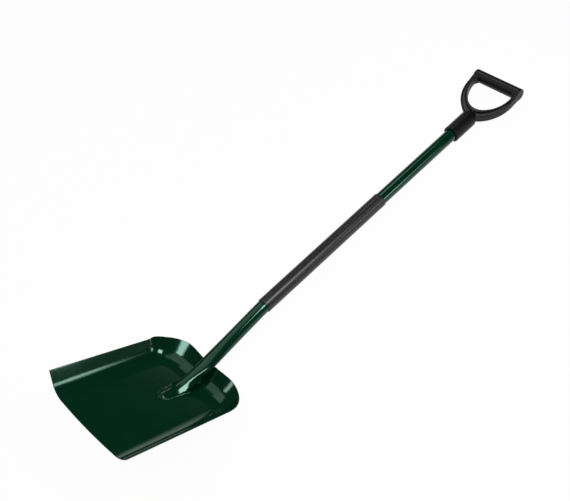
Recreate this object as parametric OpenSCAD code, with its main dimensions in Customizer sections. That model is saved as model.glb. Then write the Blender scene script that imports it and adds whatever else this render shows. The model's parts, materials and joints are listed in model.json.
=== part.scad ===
// Square-mouth scoop shovel: pressed steel pan, cranked steel tube shaft welded on the pan floor,
// plastic sleeve on the shaft and a one-piece plastic D-grip.
// Millimetres. The tool lies mouth up on its heel and its grip socket: +Z up, +Y from pan to grip.

/* [Pan] */
// Thickness of the pressed sheet
sheet_t = 1.8; // [1.2:0.1:2.4]
// Width of the flat floor between the side bends
pan_floor_w = 149; // [130:1:170]
// Length of the flat floor from the side walls' front ends to the rear bend
pan_floor_l = 233; // [210:1:260]
// How far the cutting edge bows forward in the middle
front_bow = 2.5; // [1:0.5:10]
// Outside radius of the bend between the floor and the walls
bend_r = 46; // [38:1:54]
// Rise of the walls over the distance given next
wall_rise = 4; // [3.5:0.1:4.5]
// Level distance over which the walls rise by that much
wall_out = 3; // [2.8:0.1:3.4]
// Plan radius of the floor in the tight part of each rear corner
corner_r = 5; // [3:1:10]
// Plan radius of the floor where a corner runs out into the rear wall
runout_r = 45; // [30:1:55]

/* [Rim] */
// Height of the rim at the mouth
rim_mouth_h = 39.3; // [34:0.1:46]
// Height of the rim at its lowest place, ahead of the rear corners
rim_waist_h = 33.4; // [29:0.1:38]
// Distance of that lowest place from the mouth
rim_waist_y = 224; // [190:1:228]
// Length over which the rim climbs from there to the corner lobe
lobe_step_l = 12; // [6:1:20]
// Height of the rim at the start of a corner lobe
lobe_low_h = 36; // [33:0.1:40]
// Height of the rim at the end of a corner lobe, beside the rear edge
lobe_high_h = 39; // [37:0.1:46]
// Length of the level part of a lobe's rim
lobe_level_l = 22; // [10:1:30]
// Length of the climbing part of a lobe's rim
lobe_climb_l = 26; // [15:1:35]
// Distance between the two kinks where the lobes end and the rear edge starts
rear_edge_w = 138; // [120:1:150]
// Height of the rear edge beside the shaft
rear_dip_h = 35.5; // [31:0.1:36]
// Height of the bottom of the notch the shaft lies in
notch_h = 26.8; // [25:0.1:28]
// Width of the bottom of that notch
notch_w = 17; // [14:0.5:20]

/* [Shaft] */
// Outside diameter of the tube
tube_d = 28; // [25:0.5:32]
// Wall thickness of the tube
tube_wall = 1.5; // [1.2:0.1:2]
// Lift of the upper shaft above the pan floor, degrees
upper_lift = 32; // [26:0.5:38]
// Lift of the lower shaft above the pan floor, degrees
lower_lift = 38; // [34:0.5:44]
// Distance from the mouth to where the lower shaft's axis meets the flattened foot
foot_y = 228; // [215:1:240]
// Length of the lower shaft, from that point to the knee
lower_l = 207; // [190:1:230]
// Length of the upper shaft, from the knee to the mouth of the grip socket
upper_l = 593; // [500:1:700]
// Centreline radius of the bend at the foot
foot_r = 50; // [40:1:60]
// Centreline radius of the bend at the knee
knee_r = 110; // [90:1:130]
// Length over which the round tube is pressed flat
press_l = 175; // [140:1:190]

/* [Foot] */
// Thickness of the flattened foot
foot_t = 5; // [4:0.1:6]
// Width of the foot where the tube starts to open out
foot_w = 39; // [34:0.5:42]
// Radius of the foot's rounded tip
tip_r = 14; // [10:0.5:16]
// Distance of the tip from the mouth
tip_y = 162; // [145:1:170]
// Leg of the weld along each side of the foot
side_weld = 4.4; // [3:0.1:4.8]
// Spacing of the ripples in a side weld
ripple = 5.5; // [4:0.5:8]
// Leg of the weld around the tip
tip_weld = 2.6; // [1.5:0.1:3.5]

/* [Sleeve] */
// Length of the plastic sleeve
sleeve_l = 348; // [250:1:400]
// Wall of the sleeve
sleeve_wall = 1.5; // [1:0.1:3]
// Distance from the knee to the sleeve's lower end
sleeve_from = 8; // [7.5:0.5:20]

/* [Grip] */
// Outside diameter of the grip socket
socket_d = 38; // [35:0.1:44]
// Length of the socket, from its mouth to the bow
socket_l = 62; // [52:1:80]
// Depth to which the shaft is pushed into the socket
socket_depth = 50; // [35:1:55]
// Length of the cone by which the socket runs into the bow
socket_root = 18; // [12:1:22]
// Upward tilt of the bow from the shaft, degrees
bow_tilt = 11.5; // [6:0.5:14]
// Width across the bow
bow_w = 121; // [116:1:130]
// Height of the bow's square shoulders above its root
bow_h = 116; // [112:1:120]
// Radius of the two arcs the bow's outside is drawn with
bow_arch_r = 85; // [78:1:90]
// Height of the centres of those arcs
bow_arch_y = 81; // [78:1:88]
// Width of the hand opening
hand_w = 103.5; // [102:0.5:110]
// Radius of the two arcs the hand opening is drawn with
hand_arch_r = 66; // [62:1:72]
// Height of the centres of those arcs, and of the opening's widest place
hand_arch_y = 88; // [84:1:90]
// Radius of the rounded bottom of the hand opening
hand_low_r = 37; // [30:1:45]
// Corner radius of the hand opening beside the bar
hand_r = 6; // [3:0.5:8]
// Diameter of the hand bar
bar_d = 27.5; // [23:0.5:28]
// Height of the hand bar's axis above the root
bar_y = 108.5; // [105:0.5:112]
// Depth of the bow, front to back
bow_depth = 19; // [16:0.5:23]
// Thickness of the web between the ribs
web_t = 11; // [8:0.5:14]
// Width of the rib around the hand opening
inner_rib = 3.4; // [2.5:0.1:4]
// Width of the rib around the outside
outer_rib = 2; // [1.5:0.1:3]
// How much lower the outer rib stands than the inner one, each side
rib_step = 0.5; // [0:0.1:1.5]

/* [Fits] */
// Radial room between the tube and the parts pushed onto it
push_fit = 0.1; // [0.05:0.05:0.3]
// Room between the end of the tube and the bottom of the socket
end_room = 0.5; // [0.2:0.1:2]

/* [Hidden] */
$fn = 96;
pan_green = [0.0, 0.22, 0.14];
weld_green = [0.02, 0.28, 0.18];
sleeve_black = [0.09, 0.09, 0.09];
grip_black = [0.06, 0.06, 0.06];

wall_slope = atan2(wall_rise, wall_out);

// pan corners: tight arc, then an arc that runs out tangent to the rear wall
corner_turn = atan2(4, 3);
tight_x = pan_floor_w / 2 - corner_r;
runout_x = tight_x - (runout_r - corner_r) * cos(corner_turn);
runout_y = pan_floor_l - runout_r;
tight_y = runout_y + (runout_r - corner_r) * sin(corner_turn);
wall_l = 1.5 * bend_r;
bow_r = (pow(pan_floor_w / 2, 2) + pow(front_bow, 2)) / (2 * front_bow);
trim = 2 * pan_floor_l;

// rim heights seen from the side
lobe_y = rim_waist_y + lobe_step_l;
climb_y = lobe_y + lobe_level_l;
lobe_end_y = climb_y + lobe_climb_l;
notch_top = notch_w / 2 + rear_dip_h - notch_h;
rim_fall = (rim_mouth_h - rim_waist_h) / rim_waist_y;
ahead = 2 * front_bow;

// shaft line in the middle plane
tube_r = tube_d / 2;
foot_z = sheet_t + foot_t / 2;
foot_tan = foot_r * tan(lower_lift / 2);
knee_turn = lower_lift - upper_lift;
knee_tan = knee_r * tan(knee_turn / 2);
foot_end_y = foot_y - foot_tan;
arc_l = foot_r * lower_lift * PI / 180;
knee_y = foot_y + lower_l * cos(lower_lift);
knee_z = foot_z + lower_l * sin(lower_lift);
knee_from = arc_l + lower_l - foot_tan - knee_tan;
knee_l = knee_r * knee_turn * PI / 180;
tip_cy = tip_y + tip_r;
flare = asin((foot_w / 2 - tip_r) / (foot_end_y - tip_cy));
flank_l = (foot_end_y - tip_cy + tip_r * sin(flare)) / cos(flare);
seam = 0.06;
lap = 2;

// grip
bow_lift = upper_lift + bow_tilt;
bow_y = knee_y + (upper_l + socket_l) * cos(upper_lift);
bow_z = knee_z + (upper_l + socket_l) * sin(upper_lift);
bow_half = bow_w / 2;
bow_corner = 3;
hand_half = hand_w / 2;
hand_top = bar_y - bar_d / 2;
low_turn = acos((hand_arch_r - hand_half) / (hand_arch_r - hand_low_r));
low_y = hand_arch_y - (hand_arch_r - hand_low_r) * sin(low_turn);

// the tool lies on the heel bend and on the far end of the socket's underside
rest_y = bow_y + socket_d / 2 * sin(upper_lift);
rest_z = bow_z - socket_d / 2 * cos(upper_lift);
heel_gap = norm([rest_y - pan_floor_l, rest_z - bend_r]);
lie = atan2(rest_z - bend_r, rest_y - pan_floor_l) + asin(bend_r / heel_gap);
lie_z = pan_floor_l * sin(lie) - bend_r * cos(lie) + bend_r;
front_y = -front_bow * cos(lie);
back_y = bow_y * cos(lie) + bow_z * sin(lie)
    + bar_y * cos(bow_lift - lie) + bar_d / 2;
lie_y = -(front_y + back_y) / 2;

// from the pan's own frame (floor level, mouth at y = 0) to the lying tool
module lying() {
    translate([0, lie_y, lie_z])
        rotate([-lie, 0, 0])
            children();
}

// local +Y points along the shaft's upper or lower line
module along(y, z, lift) {
    translate([0, y, z])
        rotate([lift, 0, 0])
            children();
}

// rod along local +Y
module rod(r, l) {
    rotate([-90, 0, 0])
        cylinder(r = r, h = l);
}

// sheet section of a bend and its wall: 2D x away from the floor, 2D y up
module wall_section() {
    reach = 2 * bend_r;
    translate([0, bend_r]) {
        intersection() {
            difference() {
                circle(bend_r);
                circle(bend_r - sheet_t);
            }
            translate([0, -reach])
                square(reach);
            rotate(wall_slope)
                translate([-reach, -reach])
                    square(reach);
        }
        rotate(wall_slope)
            translate([0, -bend_r])
                square([wall_l, sheet_t]);
    }
}

// straight wall of a given length along local +Y
module wall_run(l) {
    translate([0, l, 0])
        rotate([90, 0, 0])
            linear_extrude(l)
                wall_section();
}

// quarter turn of wall about an upright axis, with the sector of floor inside it
module wall_quarter(r) {
    rotate_extrude(angle = 90) {
        translate([r, 0])
            wall_section();
        square([r, sheet_t]);
    }
}

// what lies ahead of or behind the upright plane between the two arcs of a corner
module corner_part(behind) {
    rotate([0, 0, corner_turn])
        translate([-trim / 2, behind ? 0 : -trim, -trim / 2])
            cube(trim);
}

// right half of the pan's floor, with its half of the bowed cutting edge
module half_floor() {
    half = pan_floor_w / 2;
    linear_extrude(sheet_t) {
        polygon([
            [0, 0], [half, 0], [half, tight_y], [tight_x, tight_y],
            [runout_x, runout_y], [runout_x, pan_floor_l], [0, pan_floor_l]
        ]);
        intersection() {
            translate([0, -front_bow])
                square([half, front_bow]);
            translate([0, bow_r - front_bow])
                circle(bow_r);
        }
    }
}

// right half of the pressed sheet before its rim is trimmed
module half_pan() {
    half_floor();
    translate([pan_floor_w / 2, 0, 0])
        wall_run(tight_y);
    translate([tight_x, tight_y, 0])
        intersection() {
            wall_quarter(corner_r);
            corner_part(false);
        }
    translate([runout_x, runout_y, 0])
        intersection() {
            wall_quarter(runout_r);
            corner_part(true);
        }
    translate([runout_x, pan_floor_l, 0])
        rotate([0, 0, 90])
            wall_run(runout_x);
}

// everything below the rim line as seen from the side
module under_rim() {
    translate([-trim / 2, 0, 0])
        rotate([90, 0, 90])
            linear_extrude(trim)
                polygon([
                    [-ahead, -sheet_t], [-ahead, rim_mouth_h + ahead * rim_fall],
                    [rim_waist_y, rim_waist_h], [lobe_y, lobe_low_h], [climb_y, lobe_low_h],
                    [lobe_end_y, lobe_high_h], [trim, lobe_high_h], [trim, -sheet_t]
                ]);
}

// what is cut from the rear wall between the lobes
module rear_dip() {
    half = rear_edge_w / 2;
    translate([0, trim, 0])
        rotate([90, 0, 0])
            linear_extrude(trim - pan_floor_l)
                polygon([
                    [-half, lobe_high_h], [-notch_top, rear_dip_h], [-notch_w / 2, notch_h],
                    [notch_w / 2, notch_h], [notch_top, rear_dip_h], [half, lobe_high_h],
                    [half, 2 * lobe_high_h], [-half, 2 * lobe_high_h]
                ]);
}

module pan() {
    color(pan_green)
        lying()
            difference() {
                intersection() {
                    union() {
                        union() {
                            half_pan();
                        }
                        mirror([1, 0, 0])
                            half_pan();
                    }
                    under_rim();
                }
                rear_dip();
            }
}

// lower shaft, pressed flat at the foot: s runs from the flat end of the foot up past the knee
function opened(s) = pow(sin(90 * max(0, min(1, s / press_l))), 1.3);
function foot_h_at(s) = foot_t + (tube_d - foot_t) * opened(s);
function foot_w_at(s) = foot_w + (tube_d - foot_w) * opened(s);
function lift_at(s) = s < arc_l
    ? lower_lift * s / arc_l
    : lower_lift - knee_turn * max(0, min(1, (s - knee_from) / knee_l));
function line_at(s) =
    s < arc_l ? [foot_end_y + foot_r * sin(lift_at(s)), foot_z + foot_r * (1 - cos(lift_at(s)))] :
    s < knee_from ? [foot_y, foot_z] + (foot_tan + s - arc_l) * [cos(lower_lift), sin(lower_lift)] :
    s < knee_from + knee_l ? [knee_y, knee_z] - knee_tan * [cos(lower_lift), sin(lower_lift)]
        + knee_r * [sin(lower_lift) - sin(lift_at(s)), cos(lift_at(s)) - cos(lower_lift)] :
    [knee_y, knee_z] + (knee_tan + s - knee_from - knee_l) * [cos(upper_lift), sin(upper_lift)];

// flat-sided oval of the pressed tube, a given depth under its skin
ring_n = 40;
function oval(s, depth) = let(
        h = foot_h_at(s) / 2 - depth,
        flat = (foot_w_at(s) - foot_h_at(s)) / 2,
        a = lift_at(s),
        c = line_at(s)
    ) [for (i = [0:ring_n - 1]) let(
        t = (i + 0.5) * 360 / ring_n,
        x = h * cos(t) + sign(cos(t)) * flat,
        v = h * sin(t)
    ) [x, c[0] - v * sin(a), c[1] + v * cos(a)]];
function skin(rings, base) = [for (k = [0:rings - 2], i = [0:ring_n - 1]) let(
        j = (i + 1) % ring_n,
        a = base + k * ring_n,
        b = a + ring_n
    ) each [[a + i, b + i, b + j], [a + i, b + j, a + j]]];
function turned(faces) = [for (f = faces) [for (i = [len(f) - 1:-1:0]) f[i]]];

// hollow skin of the lower shaft, from inside the flat foot to its open end inside the upper tube's wall
module lower_shaft() {
    steps = concat(
        [-lap],
        [for (k = [1:20]) press_l * k / 20],
        [for (k = [0:4]) knee_from + knee_l * k / 4],
        [knee_from + knee_l + 2 * lap]
    );
    hollow = [for (s = steps) if (foot_h_at(s) > 5 * tube_wall) s];
    n = len(steps);
    m = len(hollow);
    inner = n * ring_n;
    points = concat([for (s = steps) each oval(s, seam)], [for (s = hollow) each oval(s, tube_wall - seam)]);
    flat_end = [for (i = [0:ring_n - 1]) i];
    bore_end = [for (i = [0:ring_n - 1]) inner + i];
    open_end = [for (i = [0:ring_n - 1]) let(
            j = (i + 1) % ring_n,
            a = (n - 1) * ring_n,
            b = inner + (m - 1) * ring_n
        ) [a + i, b + i, b + j, a + j]];
    polyhedron(
        points = points,
        faces = concat(turned(skin(n, 0)), turned([flat_end]), skin(m, inner), [bore_end], turned(open_end)),
        convexity = 6
    );
}

module foot_outline() {
    translate([0, tip_cy])
        circle(tip_r);
    polygon([
        [-tip_r * cos(flare), tip_cy - tip_r * sin(flare)], [-foot_w / 2, foot_end_y],
        [foot_w / 2, foot_end_y], [tip_r * cos(flare), tip_cy - tip_r * sin(flare)]
    ]);
}

module tube_section() {
    difference() {
        circle(tube_r);
        circle(tube_r - tube_wall);
    }
}

// straight tube along local +Y
module tube_run(l) {
    rotate([-90, 0, 0])
        linear_extrude(l)
            tube_section();
}

module shaft() {
    color(pan_green)
        lying() {
            translate([0, 0, sheet_t])
                linear_extrude(foot_t)
                    foot_outline();
            lower_shaft();
            along(knee_y, knee_z, upper_lift)
                translate([0, knee_tan + lap, 0])
                    tube_run(upper_l + socket_depth - knee_tan - lap);
        }
}

// rippled fillet along local +Y, against the local x = 0 plane
module side_bead(l) {
    intersection() {
        union() {
            rod(side_weld, l);
            for (y = [ripple / 2 : ripple : l - ripple / 2])
                translate([0, y, 0])
                    sphere(side_weld * 1.1);
        }
        cube([2 * side_weld, l, foot_t]);
    }
}

module weld_right() {
    color(weld_green)
        lying()
            translate([tip_r * cos(flare), tip_cy - tip_r * sin(flare), sheet_t])
                rotate([0, 0, -flare])
                    side_bead(flank_l);
}

module weld_left() {
    color(weld_green)
        lying()
            mirror([1, 0, 0])
                translate([tip_r * cos(flare), tip_cy - tip_r * sin(flare), sheet_t])
                    rotate([0, 0, -flare])
                        side_bead(flank_l);
}

module weld_tip() {
    color(weld_green)
        lying()
            translate([0, tip_cy, sheet_t])
                rotate([0, 0, 180 + flare])
                    rotate_extrude(angle = 180 - 2 * flare)
                        translate([tip_r, 0])
                            intersection() {
                                circle(tip_weld);
                                square(tip_weld);
                            }
}

module shaft_sleeve() {
    color(sleeve_black)
        lying()
            along(knee_y, knee_z, upper_lift)
                translate([0, sleeve_from, 0])
                    difference() {
                        rod(tube_r + push_fit + sleeve_wall, sleeve_l);
                        translate([0, -1, 0])
                            rod(tube_r + push_fit, sleeve_l + 2);
                    }
}

// lower half of a pointed arch between two circles whose centres lie at height y
module arch(half, r, y) {
    intersection() {
        translate([half - r, y])
            circle(r);
        translate([r - half, y])
            circle(r);
        translate([-r, y - r])
            square([2 * r, r]);
    }
}

// upright sides from height y to the top, with rounded top corners
module shoulders(half, y, top, corner) {
    translate([-half, y])
        square([2 * half, top - corner - y]);
    translate([corner - half, top - corner - 1])
        square([2 * (half - corner), corner + 1]);
    for (side = [-1, 1])
        translate([side * (half - corner), top - corner])
            circle(corner);
}

module hand_opening(extra) {
    low_r = hand_low_r + extra;
    low_top = low_y - low_r * sin(low_turn);
    shoulders(hand_half + extra, hand_arch_y, hand_top + extra, hand_r + extra);
    intersection() {
        arch(hand_half + extra, hand_arch_r + extra, hand_arch_y);
        translate([-bow_w, low_top])
            square([2 * bow_w, hand_arch_y]);
    }
    intersection() {
        translate([0, low_y])
            circle(low_r);
        translate([-bow_w, low_top - low_r])
            square([2 * bow_w, low_r]);
    }
}

module bow_outline(less) {
    arch(bow_half - less, bow_arch_r - less, bow_arch_y);
    shoulders(bow_half - less, bow_arch_y, bow_h - less, bow_corner);
}

module slab(depth) {
    translate([0, 0, -depth / 2])
        linear_extrude(depth)
            children();
}

module bow() {
    slab(web_t)
        difference() {
            bow_outline(0);
            hand_opening(0);
        }
    slab(bow_depth)
        difference() {
            intersection() {
                hand_opening(inner_rib);
                bow_outline(0);
            }
            hand_opening(0);
        }
    slab(bow_depth - 2 * rib_step)
        difference() {
            bow_outline(0);
            bow_outline(outer_rib);
            hand_opening(0);
        }
    slab(bow_depth)
        intersection() {
            difference() {
                bow_outline(0);
                hand_opening(0);
            }
            translate([-bow_w, hand_top - hand_r])
                square([2 * bow_w, bow_h]);
        }
    translate([-bow_half, bar_y, 0])
        rotate([0, 90, 0])
            cylinder(d = bar_d, h = bow_w);
}

module d_grip() {
    color(grip_black)
        lying()
            difference() {
                union() {
                    along(bow_y, bow_z, bow_lift)
                        bow();
                    along(knee_y, knee_z, upper_lift)
                        translate([0, upper_l, 0]) {
                            rod(socket_d / 2, socket_l);
                            translate([0, socket_l, 0])
                                rotate([-90, 0, 0])
                                    cylinder(r1 = socket_d / 2, r2 = bow_depth / 2, h = socket_root);
                        }
                }
                along(knee_y, knee_z, upper_lift)
                    translate([0, upper_l - 1, 0])
                        rod(tube_r + push_fit, socket_depth + end_room + 1);
            }
}

pan();
shaft();
weld_left();
weld_right();
weld_tip();
shaft_sleeve();
d_grip();
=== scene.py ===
"""Scoop shovel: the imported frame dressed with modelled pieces, finishes, a soft studio and a camera."""

import json
import logging
import math
import random
from dataclasses import dataclass, field
from enum import Enum
from typing import Any, Callable, Dict, List, Optional, Sequence, Tuple, Union

import bmesh
import bpy
from mathutils import Matrix, Quaternion, Vector

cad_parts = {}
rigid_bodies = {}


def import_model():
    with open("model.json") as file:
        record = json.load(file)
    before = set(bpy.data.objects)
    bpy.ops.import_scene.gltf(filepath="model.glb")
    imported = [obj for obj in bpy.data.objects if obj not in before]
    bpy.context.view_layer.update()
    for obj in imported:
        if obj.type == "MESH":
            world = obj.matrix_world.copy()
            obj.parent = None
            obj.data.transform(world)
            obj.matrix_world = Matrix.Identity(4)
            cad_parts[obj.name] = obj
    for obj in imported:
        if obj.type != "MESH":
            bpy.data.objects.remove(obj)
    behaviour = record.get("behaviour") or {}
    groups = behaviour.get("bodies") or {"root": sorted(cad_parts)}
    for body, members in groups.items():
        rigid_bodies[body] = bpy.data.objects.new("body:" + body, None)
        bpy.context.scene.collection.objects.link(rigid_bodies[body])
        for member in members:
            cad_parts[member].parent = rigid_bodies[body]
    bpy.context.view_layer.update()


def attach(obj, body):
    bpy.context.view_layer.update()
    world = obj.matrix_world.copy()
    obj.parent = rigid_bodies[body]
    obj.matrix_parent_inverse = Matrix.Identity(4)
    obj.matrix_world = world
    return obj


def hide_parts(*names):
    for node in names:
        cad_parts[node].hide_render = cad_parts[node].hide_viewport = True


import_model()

LOG = logging.getLogger("scoop_shovel")
Test = Callable[[Vector], bool]
Colour = Tuple[float, float, float, float]
Route = Tuple[Tuple[float, float], ...]
NEAR = 1e-5  # metres within which two places count as one
SHARP = math.radians(50.0)  # an edge that turns by more than this is rounded
ROUND = 96  # corners of a turned outline
SPREAD = (0.35, 0.65)  # noise values that run over a whole blend


class Pick(Enum):
    """What a selection in edit mode is made of."""

    VERTS = "VERT"
    EDGES = "EDGE"
    FACES = "FACE"


class Slot(Enum):
    """Material slots of the record."""

    STEEL = "painted_steel"
    WELD = "painted_weld"
    SLEEVE = "sleeve_plastic"
    GRIP = "grip_plastic"


class Side(Enum):
    """Side of the middle plane, as the sign of x."""

    LEFT = -1
    RIGHT = 1


class Bench:
    """Modelling with operators, as by hand, on one object at a time."""

    @staticmethod
    def clear() -> None:
        """Leave edit mode and deselect everything."""
        active = bpy.context.view_layer.objects.active
        if active is not None and active.mode != "OBJECT":
            bpy.ops.object.mode_set(mode="OBJECT")
        for obj in bpy.context.view_layer.objects:
            obj.select_set(False)

    @staticmethod
    def take(name: str) -> bpy.types.Object:
        """Name the object that was added last.

        Args:
            name: Name for the object and its mesh.

        Returns:
            The object.
        """
        obj = bpy.context.view_layer.objects.active
        obj.name = name
        obj.data.name = name
        return obj

    @staticmethod
    def hold(obj: bpy.types.Object) -> None:
        """Select one object alone and make it the active one.

        Args:
            obj: The object.
        """
        Bench.clear()
        obj.select_set(True)
        bpy.context.view_layer.objects.active = obj

    @staticmethod
    def edit(obj: bpy.types.Object) -> None:
        """Open one object in edit mode."""
        Bench.hold(obj)
        bpy.ops.object.mode_set(mode="EDIT")

    @staticmethod
    def fix(obj: bpy.types.Object) -> None:
        """Apply an object's place, turn and scale to its mesh."""
        Bench.hold(obj)
        bpy.ops.object.transform_apply(location=True, rotation=True, scale=True)

    @staticmethod
    def pick(obj: bpy.types.Object, kind: Pick, test: Test) -> None:
        """Select the elements of the edited mesh whose corners all pass a test.

        Args:
            obj: The object in edit mode.
            kind: What is selected.
            test: Says whether a place belongs to the selection.
        """
        bpy.ops.mesh.select_mode(type=kind.value)
        bpy.ops.mesh.select_all(action="DESELECT")
        mesh = bmesh.from_edit_mesh(obj.data)
        if kind is Pick.VERTS:
            for vert in mesh.verts:
                vert.select_set(test(vert.co))
        else:
            for part in mesh.edges if kind is Pick.EDGES else mesh.faces:
                part.select_set(all(test(vert.co) for vert in part.verts))
        mesh.select_flush_mode()
        bmesh.update_edit_mesh(obj.data)

    @staticmethod
    def modify(obj: bpy.types.Object, kind: str, **settings: Any) -> None:
        """Add a modifier and apply it.

        Args:
            obj: The object.
            kind: Type of the modifier.
            **settings: Values of the modifier.
        """
        Bench.hold(obj)
        modifier = obj.modifiers.new(kind.lower(), kind)
        for key, value in settings.items():
            setattr(modifier, key, value)
        bpy.ops.object.modifier_apply(modifier=modifier.name)

    @staticmethod
    def join(pieces: Sequence[bpy.types.Object]) -> bpy.types.Object:
        """Join several objects into the first one.

        Args:
            pieces: The objects.

        Returns:
            The first object, with all the meshes.
        """
        Bench.hold(pieces[0])
        for piece in pieces:
            piece.select_set(True)
        bpy.ops.object.join()
        return pieces[0]

    @staticmethod
    def smooth(obj: bpy.types.Object, degrees: float) -> None:
        """Shade an object smooth, with edges above an angle left sharp."""
        Bench.hold(obj)
        bpy.ops.object.shade_smooth_by_angle(angle=math.radians(degrees))

    @staticmethod
    def lay(obj: bpy.types.Object, place: Matrix) -> None:
        """Move an object into a frame and apply the move to its mesh."""
        obj.matrix_world = place
        Bench.fix(obj)

    @staticmethod
    def ease(obj: bpy.types.Object, width: float, segments: int = 3) -> None:
        """Round the sharp edges of an object."""
        Bench.modify(obj, "BEVEL", width=width, segments=segments, limit_method="ANGLE", angle_limit=SHARP)

    @staticmethod
    def fuse(obj: bpy.types.Object, voxel: float, rounds: int) -> None:
        """Run the joined parts of an object together with soft edges.

        Args:
            obj: The object.
            voxel: Size of the new faces.
            rounds: Rounds of smoothing.
        """
        Bench.modify(obj, "REMESH", mode="VOXEL", voxel_size=voxel)
        Bench.modify(obj, "SMOOTH", factor=0.5, iterations=rounds)

    @staticmethod
    def face_out() -> None:
        """Turn all the faces of the edited mesh outwards."""
        bpy.ops.mesh.select_all(action="SELECT")
        bpy.ops.mesh.normals_make_consistent(inside=False)

    @staticmethod
    def extrude(x: float = 0.0, y: float = 0.0) -> None:
        """Extrude the selection of the edited mesh and move it."""
        bpy.ops.mesh.extrude_region_move(TRANSFORM_OT_translate={"value": (x, y, 0.0)})

    @staticmethod
    def cylinder(name: str, radius: float, length: float, turn: Tuple[float, float, float], y: float,
                 ends: str = "NGON") -> bpy.types.Object:
        """Add a cylinder with its middle on the y axis.

        Args:
            name: Name of the new object.
            radius: Its radius.
            length: Its length.
            turn: Euler angles that lay it down.
            y: Place of its middle.
            ends: How its ends are filled.

        Returns:
            The object.
        """
        Bench.clear()
        bpy.ops.mesh.primitive_cylinder_add(vertices=ROUND, radius=radius, depth=length, end_fill_type=ends,
                                            rotation=turn, location=(0.0, y, 0.0))
        obj = Bench.take(name)
        Bench.fix(obj)
        return obj

    @staticmethod
    def loft(name: str, rings: Sequence[Sequence[Vector]]) -> bpy.types.Object:
        """Extrude a filled outline ring by ring, with each new ring moved to its own places.

        Args:
            name: Name of the new object.
            rings: Places of every ring, all with the same number of points.

        Returns:
            The closed object.
        """
        Bench.clear()
        bpy.ops.mesh.primitive_circle_add(vertices=len(rings[0]), fill_type="NGON")
        obj = Bench.take(name)
        Bench.edit(obj)
        mesh = bmesh.from_edit_mesh(obj.data)
        order = mesh.verts.layers.int.new("order")
        mesh.faces.ensure_lookup_table()
        for index, vert in enumerate(mesh.faces[0].verts):
            vert[order] = index
        bpy.ops.mesh.select_all(action="SELECT")
        for step, ring in enumerate(rings):
            if step:
                Bench.extrude()
            mesh = bmesh.from_edit_mesh(obj.data)
            order = mesh.verts.layers.int["order"]
            for vert in mesh.verts:
                if vert.select:
                    vert.co = ring[vert[order]]
            bmesh.update_edit_mesh(obj.data)
        Bench.face_out()
        bpy.ops.object.mode_set(mode="OBJECT")
        obj.data.attributes.remove(obj.data.attributes["order"])
        return obj


def between(stops: Sequence[Tuple[float, float]], at: float) -> float:
    """Read a line of straight stretches.

    Args:
        stops: Places and values, in rising order of place.
        at: The place to read.

    Returns:
        The value there, held level past both ends.
    """
    if at <= stops[0][0]:
        return stops[0][1]
    for (a, low), (b, high) in zip(stops, stops[1:]):
        if at <= b:
            return low + (high - low) * (at - a) / (b - a)
    return stops[-1][1]


def clamp(value: float) -> float:
    """Hold a value between 0 and 1."""
    return max(0.0, min(1.0, value))


@dataclass(frozen=True)
class ToolLine:
    """Middle line of the tool in the pan's own frame, floor level with its mouth at y = 0, in metres."""

    sheet: float = 0.0018
    floor_l: float = 0.233
    bend_r: float = 0.046
    front_bow: float = 0.0025
    foot_t: float = 0.005
    foot_y: float = 0.228
    lower_l: float = 0.207
    upper_l: float = 0.593
    lower_lift: float = math.radians(38.0)
    upper_lift: float = math.radians(32.0)
    tube_r: float = 0.014
    socket_l: float = 0.062
    socket_r: float = 0.019
    socket_depth: float = 0.050
    bow_tilt: float = math.radians(11.5)
    bar_y: float = 0.1085
    bar_r: float = 0.01375

    @property
    def foot_z(self) -> float:
        """Height of the middle of the flattened foot."""
        return self.sheet + self.foot_t / 2

    @staticmethod
    def heading(lift: float) -> Vector:
        """Direction of a line that climbs at an angle from the floor."""
        return Vector((0.0, math.cos(lift), math.sin(lift)))

    @property
    def knee(self) -> Vector:
        """Place where the lower and the upper shaft line meet."""
        return Vector((0.0, self.foot_y, self.foot_z)) + self.lower_l * self.heading(self.lower_lift)

    @property
    def bow_root(self) -> Vector:
        """Place where the grip's bow starts."""
        return self.knee + (self.upper_l + self.socket_l) * self.heading(self.upper_lift)

    @property
    def upper(self) -> Matrix:
        """Frame of the upper shaft: local +Y runs from the knee to the grip."""
        return Matrix.Translation(self.knee) @ Matrix.Rotation(self.upper_lift, 4, "X")

    @property
    def bow(self) -> Matrix:
        """Frame of the bow: local +Y runs from its root to the hand bar."""
        return Matrix.Translation(self.bow_root) @ Matrix.Rotation(self.upper_lift + self.bow_tilt, 4, "X")

    @property
    def lying(self) -> Matrix:
        """From the pan's frame to the tool lying on its heel bend and the far end of the socket."""
        rest_y = self.bow_root.y + self.socket_r * math.sin(self.upper_lift)
        rest_z = self.bow_root.z - self.socket_r * math.cos(self.upper_lift)
        gap = math.hypot(rest_y - self.floor_l, rest_z - self.bend_r)
        lie = math.atan2(rest_z - self.bend_r, rest_y - self.floor_l) + math.asin(self.bend_r / gap)
        up = self.floor_l * math.sin(lie) - self.bend_r * math.cos(lie) + self.bend_r
        front = -self.front_bow * math.cos(lie)
        back = self.bow_root.y * math.cos(lie) + self.bow_root.z * math.sin(lie)
        back += self.bar_y * math.cos(self.upper_lift + self.bow_tilt - lie) + self.bar_r
        return Matrix.Translation((0.0, -(front + back) / 2, up)) @ Matrix.Rotation(-lie, 4, "X")


LINE = ToolLine()


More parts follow.
